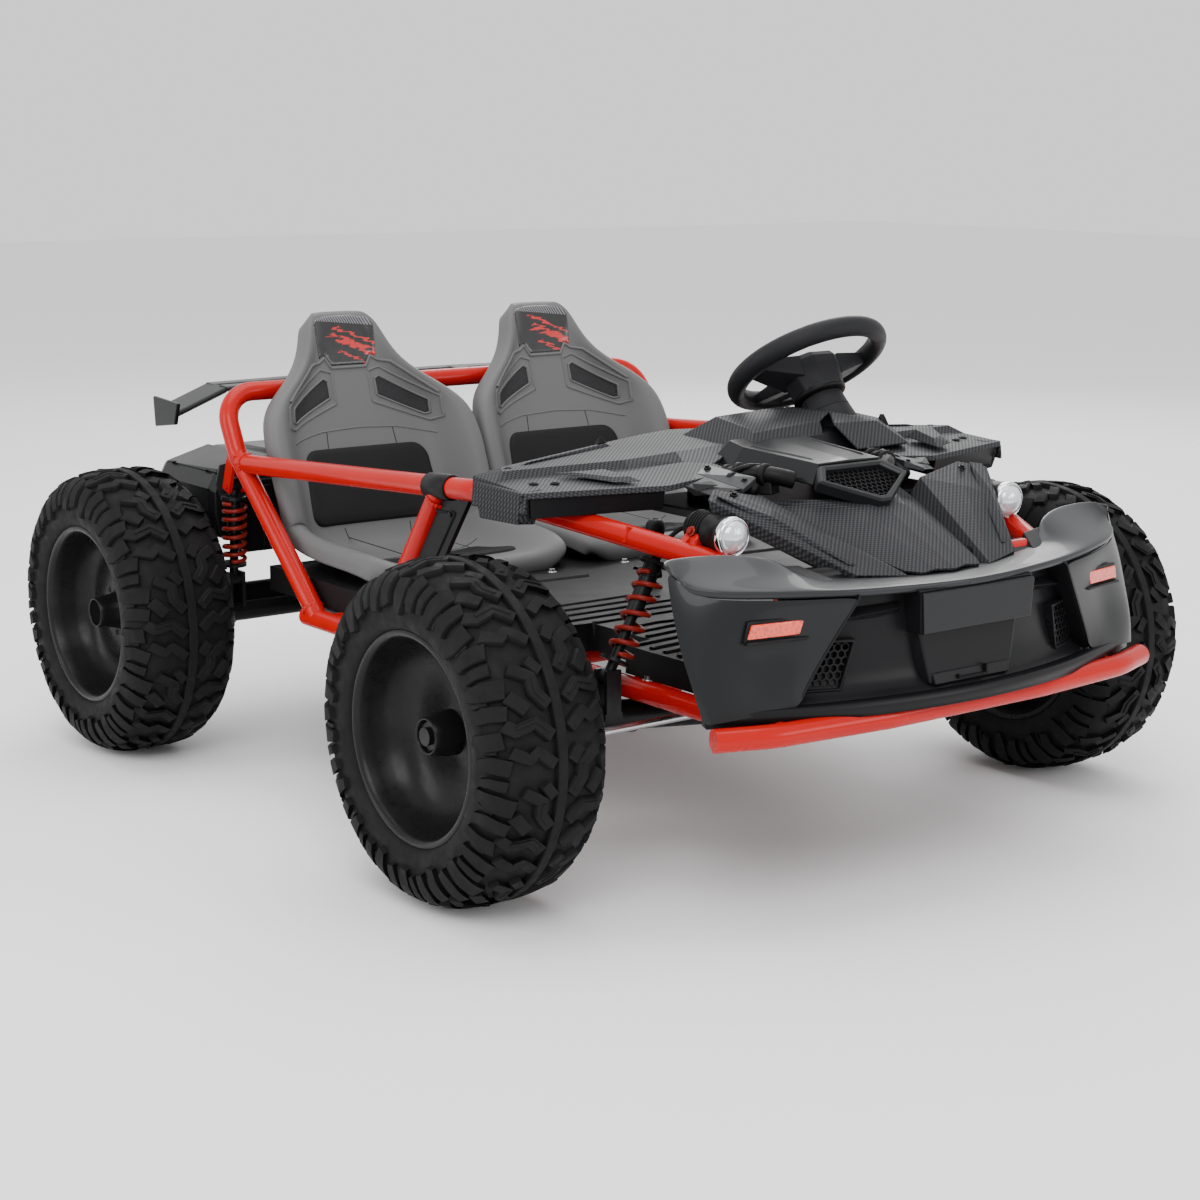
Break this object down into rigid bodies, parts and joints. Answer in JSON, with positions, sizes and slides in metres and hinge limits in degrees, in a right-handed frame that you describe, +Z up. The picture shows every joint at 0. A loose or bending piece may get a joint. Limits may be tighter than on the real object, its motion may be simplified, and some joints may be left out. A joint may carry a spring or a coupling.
{
  "type": "two-seat electric kart chassis",
  "caption": "Tubular kart chassis with bucket seats, steered and sprung front wheels, a rear swing arm drive, bumper and hood.",
  "frame": {"origin": "on the ground under the middle of the overall length and width", "axes": "-Y points to the nose, +X to the vehicle's left, +Z up"},
  "size_m": [1.066, 1.3129, 0.6049],
  "materials": {
    "red_paint": "gloss",
    "red_spring": "satin",
    "bright_steel": "satin",
    "black_steel": "semi-gloss",
    "damper_black": "satin",
    "seat_grey": "matt",
    "pad_dark": "matt",
    "carbon_weave": "satin film with a woven pattern",
    "dark_plastic": "semi-gloss",
    "wheel_grip": "matt, fine grain",
    "horn_red": "gloss",
    "black_plastic": "matt",
    "marker_orange": "gloss, prismatic",
    "lamp_glass": "clear",
    "tyre_rubber": "matt",
    "rim_black": "semi-gloss"
  },
  "bodies": {
    "chassis": {"side_rail_left": "red_paint", "side_rail_right": "red_paint", "rear_hoop": "red_paint", "lower_rails": "red_paint", "door_tubes": "red_paint", "cross_tubes": "red_paint", "bumper_bar": "red_paint", "frame_brackets": "red_paint", "pivot_bolts": "bright_steel", "floor_pan": "black_plastic", "seat_left": "seat_grey", "seat_right": "seat_grey", "seat_pads": "pad_dark", "dash_beam": "carbon_weave", "hood": "carbon_weave", "engine_cover": "dark_plastic", "intake_scoop": "dark_plastic", "column_shroud": "dark_plastic", "steering_gearbox": "black_plastic", "bumper_shell": "dark_plastic", "bumper_insert": "black_plastic", "marker_lights": "marker_orange", "headlights": "black_plastic", "headlight_lenses": "lamp_glass", "side_panels": "black_plastic", "rear_body": "dark_plastic", "battery_pack": "black_plastic", "spoiler": "dark_plastic"},
    "steering": {"steering_wheel": "wheel_grip", "steering_shaft": "bright_steel"},
    "horn": {"horn_button": "horn_red"},
    "rack": {"steering_rack": "bright_steel"},
    "swing": {"rear_swing_arm": "black_steel", "rear_axle": "bright_steel", "drive_units": "black_plastic"},
    "rear_dampers": {"rear_shock_bodies": "damper_black", "rear_springs": "red_spring"},
    "rear_rods": {"rear_shock_rods": "damper_black"},
    "pedal": {"pedal": "black_plastic"},
    "lever": {"shift_lever": "black_plastic"},
    "front_arm_left": {"front_arm_left": "black_steel"},
    "knuckle_left": {"knuckle_left": "black_steel"},
    "tie_rod_left": {"tie_rod_left": "bright_steel"},
    "front_damper_left": {"front_shock_body_left": "damper_black", "front_spring_left": "red_spring"},
    "front_rod_left": {"front_shock_rod_left": "damper_black"},
    "wheel_front_left": {"tyre_front_left": "tyre_rubber", "rim_front_left": "rim_black"},
    "wheel_rear_left": {"tyre_rear_left": "tyre_rubber", "rim_rear_left": "rim_black"},
    "front_arm_right": {"front_arm_right": "black_steel"},
    "knuckle_right": {"knuckle_right": "black_steel"},
    "tie_rod_right": {"tie_rod_right": "bright_steel"},
    "front_damper_right": {"front_shock_body_right": "damper_black", "front_spring_right": "red_spring"},
    "front_rod_right": {"front_shock_rod_right": "damper_black"},
    "wheel_front_right": {"tyre_front_right": "tyre_rubber", "rim_front_right": "rim_black"},
    "wheel_rear_right": {"tyre_rear_right": "tyre_rubber", "rim_rear_right": "rim_black"}
  },
  "joints": [
    {"name": "steering_turn", "type": "hinge", "parent": "chassis", "child": "steering", "pos_m": [0.166, -0.1895, 0.538], "axis": [0, 0.5621, 0.8271], "range_deg": [-36, 36]},
    {"name": "horn_press", "type": "slide", "parent": "steering", "child": "horn", "axis": [0, -0.5621, -0.8271], "range_m": [0, 0.003], "stiffness_N_per_m": 500, "springref_m": -0.001},
    {"name": "rack_slide", "type": "slide", "parent": "chassis", "child": "rack", "axis": [1, 0, 0], "range_m": [-0.0245, 0.0245]},
    {"name": "front_arm_left_swing", "type": "hinge", "parent": "chassis", "child": "front_arm_left", "pos_m": [0.1, -0.3335, 0.158], "axis": [0, -1, 0], "range_deg": [0, 3], "stiffness_Nm_per_rad": 2500, "springref_deg": -1.15},
    {"name": "knuckle_left_turn", "type": "hinge", "parent": "front_arm_left", "child": "knuckle_left", "pos_m": [0.33, -0.3335, 0.19], "axis": [0, 0, 1], "range_deg": [-20.5, 20.5]},
    {"name": "tie_rod_left_slide", "type": "slide", "parent": "front_arm_left", "child": "tie_rod_left", "axis": [1, 0, 0], "range_m": [-0.0245, 0.0245]},
    {"name": "wheel_front_left_spin", "type": "hinge", "parent": "knuckle_left", "child": "wheel_front_left", "pos_m": [0.4605, -0.3335, 0.19], "axis": [1, 0, 0], "continuous": true},
    {"name": "wheel_rear_left_spin", "type": "hinge", "parent": "swing", "child": "wheel_rear_left", "pos_m": [0.4605, 0.4665, 0.19], "axis": [1, 0, 0], "continuous": true},
    {"name": "front_damper_left_tilt", "type": "hinge", "parent": "chassis", "child": "front_damper_left", "pos_m": [0.225, -0.3815, 0.372], "axis": [0, -1, 0], "range_deg": [-0.2, 0.68], "deforming": ["front_spring_left"]},
    {"name": "front_rod_left_tilt", "type": "hinge", "parent": "front_arm_left", "child": "front_rod_left", "pos_m": [0.297, -0.3815, 0.235], "axis": [0, -1, 0], "range_deg": [-2.92, 0.2]},
    {"name": "front_arm_right_swing", "type": "hinge", "parent": "chassis", "child": "front_arm_right", "pos_m": [-0.1, -0.3335, 0.158], "axis": [0, 1, 0], "range_deg": [0, 3], "stiffness_Nm_per_rad": 2500, "springref_deg": -1.15},
    {"name": "knuckle_right_turn", "type": "hinge", "parent": "front_arm_right", "child": "knuckle_right", "pos_m": [-0.33, -0.3335, 0.19], "axis": [0, 0, 1], "range_deg": [-20.5, 20.5]},
    {"name": "tie_rod_right_slide", "type": "slide", "parent": "front_arm_right", "child": "tie_rod_right", "axis": [1, 0, 0], "range_m": [-0.0245, 0.0245]},
    {"name": "wheel_front_right_spin", "type": "hinge", "parent": "knuckle_right", "child": "wheel_front_right", "pos_m": [-0.4605, -0.3335, 0.19], "axis": [1, 0, 0], "continuous": true},
    {"name": "wheel_rear_right_spin", "type": "hinge", "parent": "swing", "child": "wheel_rear_right", "pos_m": [-0.4605, 0.4665, 0.19], "axis": [1, 0, 0], "continuous": true},
    {"name": "front_damper_right_tilt", "type": "hinge", "parent": "chassis", "child": "front_damper_right", "pos_m": [-0.225, -0.3815, 0.372], "axis": [0, 1, 0], "range_deg": [-0.2, 0.68], "deforming": ["front_spring_right"]},
    {"name": "front_rod_right_tilt", "type": "hinge", "parent": "front_arm_right", "child": "front_rod_right", "pos_m": [-0.297, -0.3815, 0.235], "axis": [0, 1, 0], "range_deg": [-2.92, 0.2]},
    {"name": "rear_swing", "type": "hinge", "parent": "chassis", "child": "swing", "pos_m": [0, 0.1365, 0.18], "axis": [1, 0, 0], "range_deg": [0, 4], "stiffness_Nm_per_rad": 6000, "springref_deg": -1.43},
    {"name": "rear_dampers_tilt", "type": "hinge", "parent": "chassis", "child": "rear_dampers", "pos_m": [0, 0.3665, 0.362], "axis": [1, 0, 0], "range_deg": [-1.89, 0.3], "deforming": ["rear_springs"]},
    {"name": "rear_rods_tilt", "type": "hinge", "parent": "swing", "child": "rear_rods", "pos_m": [0, 0.3755, 0.233], "axis": [1, 0, 0], "range_deg": [-5.89, 0.3]},
    {"name": "pedal_press", "type": "hinge", "parent": "chassis", "child": "pedal", "pos_m": [0.11, -0.4415, 0.269], "axis": [1, 0, 0], "range_deg": [0, 18], "stiffness_Nm_per_rad": 4, "springref_deg": -8.59},
    {"name": "lever_shift", "type": "hinge", "parent": "chassis", "child": "lever", "pos_m": [0, -0.0885, 0.269], "axis": [1, 0, 0], "range_deg": [-15, 15]}
  ],
  "couplings": [
    {"joint": "rack_slide", "follows": "steering_turn", "m_per_rad": 0.038104},
    {"joint": "knuckle_left_turn", "follows": "steering_turn", "ratio": 0.55556},
    {"joint": "tie_rod_left_slide", "follows": "steering_turn", "m_per_rad": 0.038104},
    {"joint": "front_damper_left_tilt", "follows": "front_arm_left_swing", "ratio": 0.12505},
    {"joint": "front_rod_left_tilt", "follows": "front_arm_left_swing", "ratio": -0.87495},
    {"joint": "knuckle_right_turn", "follows": "steering_turn", "ratio": 0.55556},
    {"joint": "tie_rod_right_slide", "follows": "steering_turn", "m_per_rad": 0.038104},
    {"joint": "front_damper_right_tilt", "follows": "front_arm_right_swing", "ratio": 0.12505},
    {"joint": "front_rod_right_tilt", "follows": "front_arm_right_swing", "ratio": -0.87495},
    {"joint": "rear_dampers_tilt", "follows": "rear_swing", "ratio": -0.39679},
    {"joint": "rear_rods_tilt", "follows": "rear_swing", "ratio": -1.3968}
  ]
}
